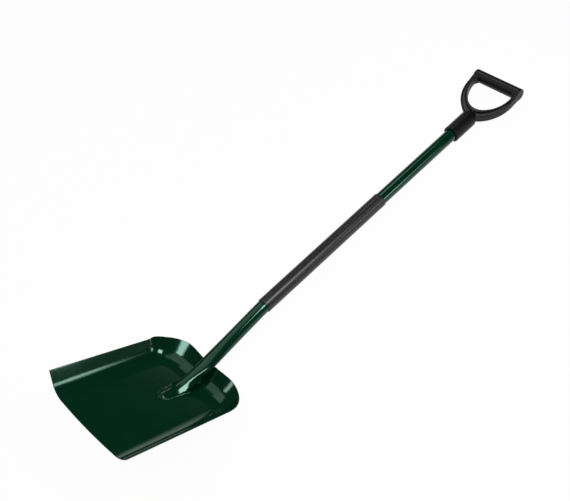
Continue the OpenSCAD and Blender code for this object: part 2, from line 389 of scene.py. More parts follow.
class Wire:
    """A shader output that takes part in sums."""

    def __init__(self, graph: "Graph", socket: bpy.types.NodeSocket) -> None:
        """Wrap one output socket of a graph."""
        self.graph = graph
        self.socket = socket

    def _sum(self, operation: str, left: "Term", right: "Term") -> "Wire":
        """Add one Math node and return its output."""
        node = self.graph.node("ShaderNodeMath", {"operation": operation}, {0: left, 1: right})
        return Wire(self.graph, node.outputs[0])

    def __add__(self, other: "Term") -> "Wire":
        """Sum of two values."""
        return self._sum("ADD", self, other)

    __radd__ = __add__

    def __sub__(self, other: "Term") -> "Wire":
        """Difference of two values."""
        return self._sum("SUBTRACT", self, other)

    def __rsub__(self, other: "Term") -> "Wire":
        """Difference from a plain number."""
        return self._sum("SUBTRACT", other, self)

    def __mul__(self, other: "Term") -> "Wire":
        """Product of two values."""
        return self._sum("MULTIPLY", self, other)

    __rmul__ = __mul__


Term = Union[Wire, float]


class Graph:
    """Nodes of one material or of the world."""

    def __init__(self, tree: bpy.types.NodeTree) -> None:
        """Empty a node tree and start anew."""
        self.tree = tree
        tree.nodes.clear()

    def node(self, kind: str, settings: Optional[Dict[str, Any]] = None,
             sockets: Optional[Dict[Union[int, str], Any]] = None) -> bpy.types.Node:
        """Add a node.

        Args:
            kind: Type of the node.
            settings: Values of the node itself.
            sockets: Values or wires of its inputs, by name or place.

        Returns:
            The node.
        """
        node = self.tree.nodes.new(kind)
        for key, value in (settings or {}).items():
            setattr(node, key, value)
        for key, value in (sockets or {}).items():
            if isinstance(value, Wire):
                self.tree.links.new(value.socket, node.inputs[key])
            else:
                node.inputs[key].default_value = value
        return node

    def out(self, kind: str, output: Union[int, str], settings: Optional[Dict[str, Any]] = None,
            sockets: Optional[Dict[Union[int, str], Any]] = None) -> Wire:
        """Add a node and return one of its outputs as a wire.

        Args:
            kind: Type of the node.
            output: Name or place of the output.
            settings: Values of the node itself.
            sockets: Values or wires of its inputs.

        Returns:
            The wire.
        """
        return Wire(self, self.node(kind, settings, sockets).outputs[output])

    def place(self, turn: Tuple[float, float, float] = (0.0, 0.0, 0.0),
              scale: Tuple[float, float, float] = (1.0, 1.0, 1.0)) -> Wire:
        """Object coordinates, turned and stretched.

        Args:
            turn: Euler angles of the pattern.
            scale: Stretch of the pattern along each axis.

        Returns:
            The wire with the coordinates.
        """
        where = self.out("ShaderNodeTexCoord", "Object")
        return self.out("ShaderNodeMapping", "Vector", None,
                        {"Vector": where, "Rotation": turn, "Scale": scale})

    def noise(self, where: Wire, scale: float, detail: float = 2.0, rough: float = 0.5) -> Wire:
        """Cloudy values between 0 and 1.

        Args:
            where: Coordinates.
            scale: Clouds to a metre.
            detail: Finer layers.
            rough: Strength of the finer layers.

        Returns:
            The wire with the values.
        """
        return self.out("ShaderNodeTexNoise", "Fac", None,
                        {"Vector": where, "Scale": scale, "Detail": detail, "Roughness": rough})

    def ramp(self, value: Wire, low: float, high: float) -> Wire:
        """Spread a value from low to high over 0 to 1, clamped.

        Args:
            value: The value.
            low: What becomes 0.
            high: What becomes 1.

        Returns:
            The wire with the spread value.
        """
        return self.out("ShaderNodeMapRange", 0, {"clamp": True},
                        {"Value": value, "From Min": low, "From Max": high})

    def mix(self, share: Wire, low: Colour, high: Colour) -> Wire:
        """Blend of two colours.

        Args:
            share: Share of the second colour.
            low: First colour.
            high: Second colour.

        Returns:
            The wire with the colour.
        """
        return self.out("ShaderNodeMix", 2, {"data_type": "RGBA"}, {0: share, 6: low, 7: high})

    def bump(self, height: Wire, distance: float) -> Wire:
        """Normal bent by a height.

        Args:
            height: Height between 0 and 1.
            distance: Depth in metres that a height of 1 stands for.

        Returns:
            The wire with the normal.
        """
        return self.out("ShaderNodeBump", "Normal", None,
                        {"Height": height, "Strength": 1.0, "Distance": distance})

    def surface(self, sockets: Dict[str, Any]) -> None:
        """Finish the material with a Principled shader."""
        shader = self.out("ShaderNodeBsdfPrincipled", 0, None, sockets)
        self.node("ShaderNodeOutputMaterial", None, {"Surface": shader})


@dataclass(frozen=True)
class Finish:
    """A finish with its name."""

    name: str

    def start(self) -> Tuple[bpy.types.Material, Graph]:
        """Add an empty material.

        Returns:
            The material and its graph.
        """
        material = bpy.data.materials.new(self.name)
        material.use_nodes = True
        return material, Graph(material.node_tree)


@dataclass(frozen=True)
class GlossPaint(Finish):
    """Gloss enamel on pressed steel: slow waves of the sheet, orange peel and faint dust."""

    deep: Colour = (0.0, 0.0200, 0.0080, 1.0)
    fresh: Colour = (0.0, 0.0260, 0.0110, 1.0)
    sheen: Colour = (0.56, 1.0, 0.84, 1.0)
    gloss: float = 0.10
    dusty: float = 0.04
    cloudy: float = 0.03
    wave: float = 0.00007
    peel: float = 0.000003
    cloud_scale: float = 14.0
    dust_scale: float = 240.0
    wave_scale: float = 11.0
    peel_scale: float = 900.0

    def material(self) -> bpy.types.Material:
        """Build the material.

        Returns:
            The material.
        """
        material, graph = self.start()
        where = graph.place()
        cloud = graph.noise(where, self.cloud_scale, 3.0)
        dust = graph.noise(where, self.dust_scale, 4.0, 0.65)
        waves = graph.noise(where, self.wave_scale, 1.0, 0.3)
        peel = graph.noise(where, self.peel_scale, 1.0)
        colour = graph.mix(graph.ramp(cloud * 0.7 + dust * 0.3, *SPREAD), self.deep, self.fresh)
        gloss = self.gloss + self.dusty * graph.ramp(dust, 0.45, 0.75) + self.cloudy * cloud
        height = waves + peel * (self.peel / self.wave)
        graph.surface({
            "Base Color": colour, "Roughness": gloss, "Normal": graph.bump(height, self.wave),
            "IOR": 1.5, "Specular IOR Level": 0.5, "Specular Tint": self.sheen,
        })
        return material


@dataclass(frozen=True)
class SatinPlastic(Finish):
    """Satin moulded plastic: fine grain, faint streaks along the shaft and a dusty bloom."""

    deep: Colour = (0.0085, 0.0085, 0.0085, 1.0)
    bloom: Colour = (0.0135, 0.0130, 0.0130, 1.0)
    gloss: float = 0.33
    streaky: float = 0.05
    cloudy: float = 0.06
    shine: float = 0.5
    grain: float = 0.000006
    streak: Tuple[float, float, float] = (1.0, 1.0, 1.0)
    streak_scale: float = 260.0
    cloud_scale: float = 30.0
    grain_scale: float = 1600.0

    def material(self) -> bpy.types.Material:
        """Build the material.

        Returns:
            The material.
        """
        material, graph = self.start()
        lie = LINE.lying.to_euler().x + LINE.upper_lift
        along = graph.place((-lie, 0.0, 0.0), self.streak)
        where = graph.place()
        streaks = graph.noise(along, self.streak_scale, 3.0, 0.6)
        cloud = graph.noise(where, self.cloud_scale, 3.0)
        grain = graph.noise(where, self.grain_scale, 2.0, 0.6)
        colour = graph.mix(graph.ramp(streaks * 0.5 + cloud * 0.5, *SPREAD), self.deep, self.bloom)
        gloss = self.gloss + self.streaky * graph.ramp(streaks, 0.35, 0.7) + self.cloudy * (cloud - 0.5)
        height = grain * 0.7 + streaks * 0.3
        graph.surface({
            "Base Color": colour, "Roughness": gloss, "Normal": graph.bump(height, self.grain),
            "IOR": 1.5, "Specular IOR Level": self.shine,
        })
        return material


@dataclass
class Piece:
    """A modelled piece that stands for one node of the frame."""

    node: str
    slot: Slot

    def build(self) -> bpy.types.Object:
        """Model the piece in the pan's own frame."""
        raise NotImplementedError

    def dress(self, obj: bpy.types.Object, material: bpy.types.Material) -> None:
        """Lay the piece down with the tool, give it its finish and tie it to the frame.

        Args:
            obj: The modelled piece.
            material: Its finish.
        """
        Bench.lay(obj, LINE.lying)
        obj.data.materials.clear()
        obj.data.materials.append(material)
        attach(obj, "root")
        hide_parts(self.node)
        LOG.info("%s: %d faces", obj.name, len(obj.data.polygons))


@dataclass
class Pan(Piece):
    """Pressed pan: flat floor with a bowed cutting edge, swept bends, walls and a trimmed rim."""

    floor_w: float = 0.149
    slope: float = math.atan2(4.0, 3.0)
    corner_r: float = 0.005
    runout_r: float = 0.045
    corner_turn: float = math.atan2(4.0, 3.0)
    wall: float = 0.060
    side_rim: Route = ((0.0, 0.0393), (0.224, 0.0334), (0.236, 0.0360), (0.258, 0.0360))
    lobe_y: float = 0.284
    lobe_x: float = 0.069
    lobe: Dict[Side, float] = field(default_factory=lambda: {Side.LEFT: 0.0403, Side.RIGHT: 0.0374})
    dip: Dict[Side, float] = field(default_factory=lambda: {Side.LEFT: 0.0349, Side.RIGHT: 0.0366})
    notch: Tuple[float, float] = (0.0085, 0.0268)
    notch_top: float = 0.0128
    rim_ease: float = 0.0025
    edge_round: float = 0.0005
    floor_inset: float = 0.003
    rear_stops: Tuple[float, ...] = (0.036, 0.028, 0.0215, 0.0165, 0.0128, 0.0106, 0.0085, 0.004, 0.0)
    bend_steps: int = 28
    tight_steps: int = 26
    runout_steps: int = 22
    bow_steps: int = 32
    wall_cuts: int = 6
    trim_rounds: int = 40

    @property
    def half(self) -> float:
        """Half the floor's width."""
        return self.floor_w / 2

    @property
    def corner_gap(self) -> float:
        """Distance between the centres of a rear corner's two arcs."""
        return self.runout_r - self.corner_r

    @property
    def runout(self) -> Vector:
        """Centre of the arc that runs out into the rear wall."""
        x = self.half - self.corner_r - self.corner_gap * math.cos(self.corner_turn)
        return Vector((x, LINE.floor_l - self.runout_r, 0.0))

    @property
    def tight(self) -> Vector:
        """Centre of the tight arc of a rear corner."""
        y = self.runout.y + self.corner_gap * math.sin(self.corner_turn)
        return Vector((self.half - self.corner_r, y, 0.0))

    def rim_at(self, place: Vector) -> float:
        """Height of the rim above a place.

        Args:
            place: A place on a wall.

        Returns:
            The height at which the sheet is trimmed there.
        """
        side = Side.LEFT if place.x < 0.0 else Side.RIGHT
        ease = (-1.0, -0.5, 0.0, 0.5, 1.0)
        line = self.side_rim + ((self.lobe_y, self.lobe[side]),)
        height = sum(between(line, place.y + k * self.rim_ease) for k in ease) / len(ease)
        if place.y > LINE.floor_l:
            rear = (self.notch, (self.notch_top, self.dip[side]), (self.lobe_x, self.lobe[side]),
                    (self.lobe_x + NEAR, 1.0))
            height = min(height, between(rear, abs(place.x)))
        return height - LINE.sheet * math.cos(self.slope)

    def trim(self, obj: bpy.types.Object) -> None:
        """Slide the ends of the walls down their own slope to the rim.

        Args:
            obj: The half sheet, in edit mode.
        """
        bend_top = LINE.bend_r * (1.0 - math.cos(self.slope))
        mesh = bmesh.from_edit_mesh(obj.data)
        for vert in mesh.verts:
            if vert.co.z < bend_top + NEAR:
                continue
            foot = next(v.co for e in vert.link_edges for v in e.verts if v.co.z < bend_top + NEAR)
            start, run = foot.copy(), vert.co - foot
            low, high = 0.0, 1.0
            for _ in range(self.trim_rounds):
                share = (low + high) / 2
                place = start + share * run
                low, high = (share, high) if place.z < self.rim_at(place) else (low, share)
            vert.co = start + low * run
        bmesh.update_edit_mesh(obj.data)
        Bench.pick(obj, Pick.EDGES, lambda p: p.z > bend_top - NEAR)
        mesh = bmesh.from_edit_mesh(obj.data)
        for edge in mesh.edges:
            feet = [vert.co.z < bend_top + NEAR for vert in edge.verts]
            edge.select_set(edge.select and any(feet) and not all(feet))
        bmesh.update_edit_mesh(obj.data)
        bpy.ops.mesh.subdivide_edgering(number_cuts=self.wall_cuts, interpolation="LINEAR")

    def half_sheet(self) -> bpy.types.Object:
        """Model the bends and walls of the right half as a sheet without thickness.

        Returns:
            The open sheet.
        """
        lean = Vector((math.cos(self.slope), 0.0, math.sin(self.slope)))
        bend_end = Vector((self.half + LINE.bend_r * lean.z, 0.0, LINE.bend_r * (1.0 - lean.x)))
        middle = bend_end + lean * (self.wall / 2) + Vector((0.0, self.tight.y / 2, 0.0))
        Bench.clear()
        bpy.ops.mesh.primitive_plane_add(size=1.0, location=middle, rotation=(0.0, -self.slope, 0.0))
        obj = Bench.take("pan_sheet")
        obj.scale = (self.wall, self.tight.y, 1.0)
        Bench.fix(obj)
        Bench.edit(obj)
        Bench.pick(obj, Pick.EDGES, lambda p: p.z < bend_end.z + NEAR)
        bpy.ops.mesh.spin(steps=self.bend_steps, angle=-self.slope, center=(self.half, 0.0, LINE.bend_r),
                          axis=(0.0, 1.0, 0.0))
        Bench.pick(obj, Pick.VERTS, lambda p: p.y > self.tight.y - NEAR)
        bpy.ops.mesh.spin(steps=self.tight_steps, angle=-self.corner_turn, center=self.tight,
                          axis=(0.0, 0.0, 1.0))
        bpy.ops.mesh.spin(steps=self.runout_steps, angle=self.corner_turn - math.pi / 2, center=self.runout,
                          axis=(0.0, 0.0, 1.0))
        stops = (self.runout.x,) + self.rear_stops
        for here, there in zip(stops, stops[1:]):
            Bench.extrude(x=there - here)
        return obj

    def fill_floor(self, obj: bpy.types.Object) -> None:
        """Draw the bowed cutting edge and fill the floor.

        Args:
            obj: The whole sheet without its floor, in edit mode.
        """
        bow_r = (self.half ** 2 + LINE.front_bow ** 2) / (2 * LINE.front_bow)
        turn = 2 * math.asin(self.half / bow_r)
        corner = Vector((self.half, 0.0, 0.0))
        Bench.pick(obj, Pick.VERTS, lambda p: (p - corner).length < NEAR)
        bpy.ops.mesh.spin(steps=self.bow_steps, angle=turn, center=(0.0, bow_r - LINE.front_bow, 0.0),
                          axis=(0.0, 0.0, 1.0))
        bpy.ops.mesh.select_all(action="SELECT")
        bpy.ops.mesh.remove_doubles(threshold=NEAR)
        Bench.pick(obj, Pick.VERTS, lambda p: abs(p.z) < NEAR)
        bpy.ops.mesh.edge_face_add()
        Bench.pick(obj, Pick.FACES, lambda p: abs(p.z) < NEAR)
        bpy.ops.mesh.inset(thickness=self.floor_inset, depth=0.0, use_boundary=True)

    def build(self) -> bpy.types.Object:
        """Model the pan.

        Returns:
            The piece.
        """
        obj = self.half_sheet()
        Bench.modify(obj, "MIRROR", merge_threshold=NEAR)
        Bench.edit(obj)
        self.trim(obj)
        self.fill_floor(obj)
        Bench.face_out()
        mesh = bmesh.from_edit_mesh(obj.data)
        floor = max(mesh.faces, key=lambda face: face.calc_area())
        if floor.normal.z < 0.0:
            bpy.ops.mesh.flip_normals()
        Bench.clear()
        Bench.modify(obj, "SOLIDIFY", thickness=LINE.sheet, offset=1.0, use_even_offset=True,
                     use_quality_normals=True)
        Bench.ease(obj, self.edge_round)
        Bench.smooth(obj, 60.0)
        Bench.modify(obj, "WEIGHTED_NORMAL", mode="FACE_AREA", weight=50, keep_sharp=True)
        return obj


@dataclass(frozen=True)
class Oval:
    """Outline of the pressed tube, between a crowned bar with sloping flanks and an oval."""

    wide: float
    high: float
    rise: float
    fold: float
    slope: float = 0.58
    flat: float = 0.44
    crown: float = 0.0012
    lip_w: float = 0.0004
    lip_h: float = 0.0006
    shares: Tuple[float, ...] = (0.0, 0.34, 0.38, 0.46, 0.66, 1.0)  # underside, lip, side, flank and crown

    def bar(self, turn: float) -> Tuple[float, float]:
        """Place on the bar's outline in a direction.

        Args:
            turn: Direction on the right side, from -90 degrees at the bottom to 90 at the top.

        Returns:
            Sideways and upward place, from the middle of the outline.
        """
        half, low = self.wide / 2, -self.high / 2
        top = self.flat * half
        drop = min(self.slope * (half - top), self.rise - low - self.crown - self.lip_h)
        shoulder = self.rise - self.crown
        across = (0.0, half - self.lip_w, half, half, top, 0.0)
        upward = (low, low, low + self.lip_h, shoulder - drop, shoulder, self.rise)
        share = (turn + math.pi / 2) / math.pi
        x = between(tuple(zip(self.shares, across)), share)
        z = between(tuple(zip(self.shares, upward)), share)
        if share > self.shares[-2]:
            z = self.rise - self.crown * (x / top) ** 2
        return x, z

    def points(self, quarter: int) -> List[Tuple[float, float]]:
        """Points around the outline.

        Args:
            quarter: Points in each quarter.

        Returns:
            Sideways and upward places, from the middle of the outline.
        """
        right = []
        for k in range(2 * quarter):
            turn = math.pi * ((k + 0.5) / (2 * quarter) - 0.5)
            x, z = self.bar(turn)
            tall = self.rise if turn > 0.0 else self.high / 2
            right.append((self.fold * x + (1.0 - self.fold) * self.wide / 2 * math.cos(turn),
                          self.fold * z + (1.0 - self.fold) * tall * math.sin(turn)))
        return right + [(-x, z) for x, z in reversed(right)]


@dataclass
class Shaft(Piece):
    """Steel tube, pressed to a flat tongue at its foot and bent up at the foot and the knee."""

    foot_w: float = 0.031
    tip_r: float = 0.014
    tip_y: float = 0.162
    tip_thin: float = 0.45
    tip_swell: float = 2.2
    tip_crown: float = 0.0010
    foot_r: float = 0.070
    knee_r: float = 0.110
    press_l: float = 0.175
    press_power: float = 1.3
    belly: float = 0.003
    fold_l: float = 0.075
    ridge_y: float = 0.195
    ridge_lift: float = math.radians(28.0)
    ridge_ease: float = 0.010
    crest_ease: float = 0.0015
    quarter: int = 18
    tip_steps: int = 14
    tongue_steps: int = 12
    press_steps: int = 50
    knee_steps: int = 4
    knee_pace: float = 0.002
    upper_steps: int = 8
    end_gap: float = 0.001

    @property
    def foot_lead(self) -> float:
        """Length of the foot bend on either side of its corner."""
        return self.foot_r * math.tan(LINE.lower_lift / 2)

    @property
    def foot_end(self) -> float:
        """Place along the floor where the tongue starts to bend up."""
        return LINE.foot_y - self.foot_lead

    def opened(self, s: float) -> float:
        """How far the pressed tube has opened out, from 0 flat to 1 round."""
        return math.sin(math.pi / 2 * clamp(s / self.press_l)) ** self.press_power

    def oval(self, s: float) -> Oval:
        """Outline at a distance from the end of the tongue.

        Args:
            s: Distance along the shaft from where it bends up.

        Returns:
            The outline.
        """
        share = self.opened(s)
        high = LINE.foot_t + (2 * LINE.tube_r - LINE.foot_t) * share
        wide = self.foot_w + (2 * LINE.tube_r - self.foot_w) * share + self.belly * math.sin(math.pi * share)
        part = clamp(s / self.fold_l)
        rise = self.ridge(high / 2, *self.middle(s))
        return Oval(wide, high, rise, 1.0 - part * part * (3.0 - 2.0 * part))

    def ridge(self, half: float, middle: Vector, lift: float) -> float:
        """Height of the ridge that runs down the pressed end to its tongue.

        Args:
            half: Half the height of the outline there.
            middle: Place of the outline's middle.
            lift: Lift of the shaft there.

        Returns:
            Height above the middle of the outline.
        """
        run = middle.y - self.ridge_y
        slope = math.tan(self.ridge_lift)
        line = LINE.sheet + LINE.foot_t + slope * 0.5 * (run + math.hypot(run, self.ridge_ease))
        gap = (line - middle.z) / (math.cos(lift) + slope * math.sin(lift)) - half
        return half + 0.5 * (gap + math.hypot(gap, self.crest_ease)) - self.crest_ease / 2

    def middle(self, s: float) -> Tuple[Vector, float]:
        """Middle line of the bent tube.

        Args:
            s: Distance along the shaft from where it bends up.

        Returns:
            The place and the lift of the line there.
        """
        arc = self.foot_r * LINE.lower_lift
        turn = LINE.lower_lift - LINE.upper_lift
        lead = self.knee_r * math.tan(turn / 2)
        knee_from = arc + LINE.lower_l - self.foot_lead - lead
        knee_to = knee_from + self.knee_r * turn
        if s < arc:
            lift = LINE.lower_lift * s / arc
            rise = self.foot_r * (1.0 - math.cos(lift))
            return Vector((0.0, self.foot_end + self.foot_r * math.sin(lift), LINE.foot_z + rise)), lift
        if s < knee_from:
            return LINE.knee - (knee_from + lead - s) * LINE.heading(LINE.lower_lift), LINE.lower_lift
        if s < knee_to:
            lift = LINE.lower_lift - (s - knee_from) / self.knee_r
            back = math.sin(LINE.lower_lift) - math.sin(lift)
            up = math.cos(lift) - math.cos(LINE.lower_lift)
            bend = self.knee_r * Vector((0.0, back, up))
            return LINE.knee - lead * LINE.heading(LINE.lower_lift) + bend, lift
        return LINE.knee + (lead + s - knee_to) * LINE.heading(LINE.upper_lift), LINE.upper_lift

    def ring(self, oval: Oval, middle: Vector, lift: float) -> List[Vector]:
        """Outline set across the shaft.

        Args:
            oval: The outline.
            middle: Place of its middle.
            lift: Lift of the shaft there.

        Returns:
            Places around the shaft.
        """
        up = Vector((0.0, -math.sin(lift), math.cos(lift)))
        return [middle + Vector((x, 0.0, 0.0)) + v * up for x, v in oval.points(self.quarter)]

    def tongue_rings(self) -> List[List[Vector]]:
        """Rings of the flat tongue, from its rounded tip to where it bends up.

        Returns:
            Places around each ring.
        """
        tip_mid = self.tip_y + self.tip_r
        flare = math.asin((self.foot_w / 2 - self.tip_r) / (self.foot_end - tip_mid))
        rings = []
        for k in range(1, self.tip_steps + 1):
            turn = (math.pi / 2 + flare) * k / self.tip_steps
            wide = 2 * self.tip_r * math.sin(turn)
            thick = math.sin(min(math.pi / 2, self.tip_swell * turn))
            high = LINE.foot_t * min(1.0, self.tip_thin + (1.0 - self.tip_thin) * thick)
            oval = Oval(wide, high, high / 2, 1.0, crown=self.tip_crown * high / LINE.foot_t)
            y = tip_mid - self.tip_r * math.cos(turn)
            rings.append(self.ring(oval, Vector((0.0, y, LINE.sheet + high / 2)), 0.0))
        start_y = tip_mid + self.tip_r * math.sin(flare)
        start_w = 2 * self.tip_r * math.cos(flare)
        for k in range(1, self.tongue_steps):
            share = k / self.tongue_steps
            wide = start_w + (self.foot_w - start_w) * share
            y = start_y + (self.foot_end - start_y) * share
            middle = Vector((0.0, y, LINE.foot_z))
            oval = Oval(wide, LINE.foot_t, self.ridge(LINE.foot_t / 2, middle, 0.0), 1.0)
            rings.append(self.ring(oval, middle, 0.0))
        return rings

    def build(self) -> bpy.types.Object:
        """Model the shaft.

        Returns:
            The piece.
        """
        rings = self.tongue_rings()
        total = self.foot_r * LINE.lower_lift + LINE.lower_l - self.foot_lead
        stops = [self.press_l * k / self.press_steps for k in range(self.press_steps + 1)]
        stops += [total + self.knee_pace * k for k in range(-self.knee_steps, self.knee_steps + 1)]
        stops += [total + LINE.upper_l * k / self.upper_steps for k in range(1, self.upper_steps + 1)]
        stops.append(total + LINE.upper_l + LINE.socket_depth - self.end_gap)
        for s in stops:
            rings.append(self.ring(self.oval(s), *self.middle(s)))
        obj = Bench.loft("shaft_tube", rings)
        Bench.smooth(obj, 50.0)
        return obj


@dataclass
class WeldBead(Piece):
    """Weld run laid as overlapping lumps along a line on the pan floor."""

    lump: float = 0.0044
    pace: float = 0.0034
    voxel: float = 0.0005
    swell: float = 0.0
    seed: int = 1
    least: float = 0.82
    most: float = 1.10
    stray: float = 0.12
    sink: float = 0.0002

    def route(self) -> Route:
        """Corners of the line that the run follows."""
        raise NotImplementedError

    def lumps(self) -> List[Tuple[Vector, float]]:
        """Places and sizes of the lumps along the route.

        Returns:
            Middle and radius of each lump.
        """
        dice = random.Random(self.seed)
        spots: List[Tuple[Vector, float]] = []
        route = self.route()
        for (ax, ay), (bx, by) in zip(route, route[1:]):
            length = math.hypot(bx - ax, by - ay)
            count = max(1, round(length / self.pace))
            for k in range(count):
                share = (k + 0.5) / count
                size = self.lump * dice.uniform(self.least, self.most) * (1.0 + self.swell * (share - 0.5))
                shift = Vector((dice.uniform(-1, 1), dice.uniform(-1, 1), dice.uniform(-1.2, 0.2)))
                place = Vector((ax + (bx - ax) * share, ay + (by - ay) * share, LINE.sheet))
                spots.append((place + shift * self.lump * self.stray, size))
        return spots

    def build(self) -> bpy.types.Object:
        """Model the run.

        Returns:
            The piece.
        """
        balls = []
        for place, size in self.lumps():
            Bench.clear()
            bpy.ops.mesh.primitive_ico_sphere_add(subdivisions=3, radius=size, location=place)
            balls.append(Bench.take(self.node + "_run"))
        obj = Bench.join(balls)
        Bench.fix(obj)
        Bench.fuse(obj, self.voxel, 2)
        Bench.edit(obj)
        bpy.ops.mesh.select_all(action="SELECT")
        bpy.ops.mesh.bisect(plane_co=(0.0, 0.0, LINE.sheet - self.sink), plane_no=(0.0, 0.0, 1.0),
                            use_fill=True, clear_inner=True)
        Bench.clear()
        Bench.smooth(obj, 60.0)
        return obj


@dataclass
class SideWeld(WeldBead):
    """Weld along one side of the tongue."""

    side: Side = Side.LEFT
    start: Tuple[float, float] = (0.0145, 0.1740)
    end: Tuple[float, float] = (0.0172, 0.2190)

    def route(self) -> Route:
        """Line along the side of the tongue."""
        return tuple((self.side.value * x, y) for x, y in (self.start, self.end))


@dataclass
class TipWeld(WeldBead):
    """Thin weld around the tip of the tongue, ending a little short of its sides."""

    lump: float = 0.0025
    pace: float = 0.0018
    voxel: float = 0.0004
    gap: float = math.radians(9.0)
    steps: int = 12

    def route(self) -> Route:
        """Arc around the tip of the tongue.

        Returns:
            Corners of the arc.
        """
        sweep = math.pi - 2 * self.gap
        turns = [math.pi + self.gap + sweep * k / self.steps for k in range(self.steps + 1)]
        middle = Shaft.tip_y + Shaft.tip_r
        return tuple((Shaft.tip_r * math.cos(a), middle + Shaft.tip_r * math.sin(a)) for a in turns)


@dataclass
class ShaftSleeve(Piece):
    """Plastic sleeve pushed onto the upper shaft."""

    start: float = 0.008
    length: float = 0.348
    inner_r: float = 0.0141
    outer_r: float = 0.0156
    cuts: Tuple[float, ...] = (0.02, 0.3, 0.7, 0.98)
    edge_round: float = 0.0006

    def build(self) -> bpy.types.Object:
        """Model the sleeve.

        Returns:
            The piece.
        """
        obj = Bench.cylinder("sleeve_tube", self.outer_r, self.length, (math.pi / 2, 0.0, 0.0),
                             self.start + self.length / 2, "NOTHING")
        Bench.edit(obj)
        Bench.face_out()
        for share in self.cuts:
            cut_y = self.start + share * self.length
            bpy.ops.mesh.select_all(action="SELECT")
            bpy.ops.mesh.bisect(plane_co=(0.0, cut_y, 0.0), plane_no=(0.0, 1.0, 0.0))
        Bench.clear()
        Bench.modify(obj, "SOLIDIFY", thickness=self.outer_r - self.inner_r, offset=-1.0)
        Bench.ease(obj, self.edge_round)
        Bench.lay(obj, LINE.upper)
        Bench.smooth(obj, 45.0)
        return obj


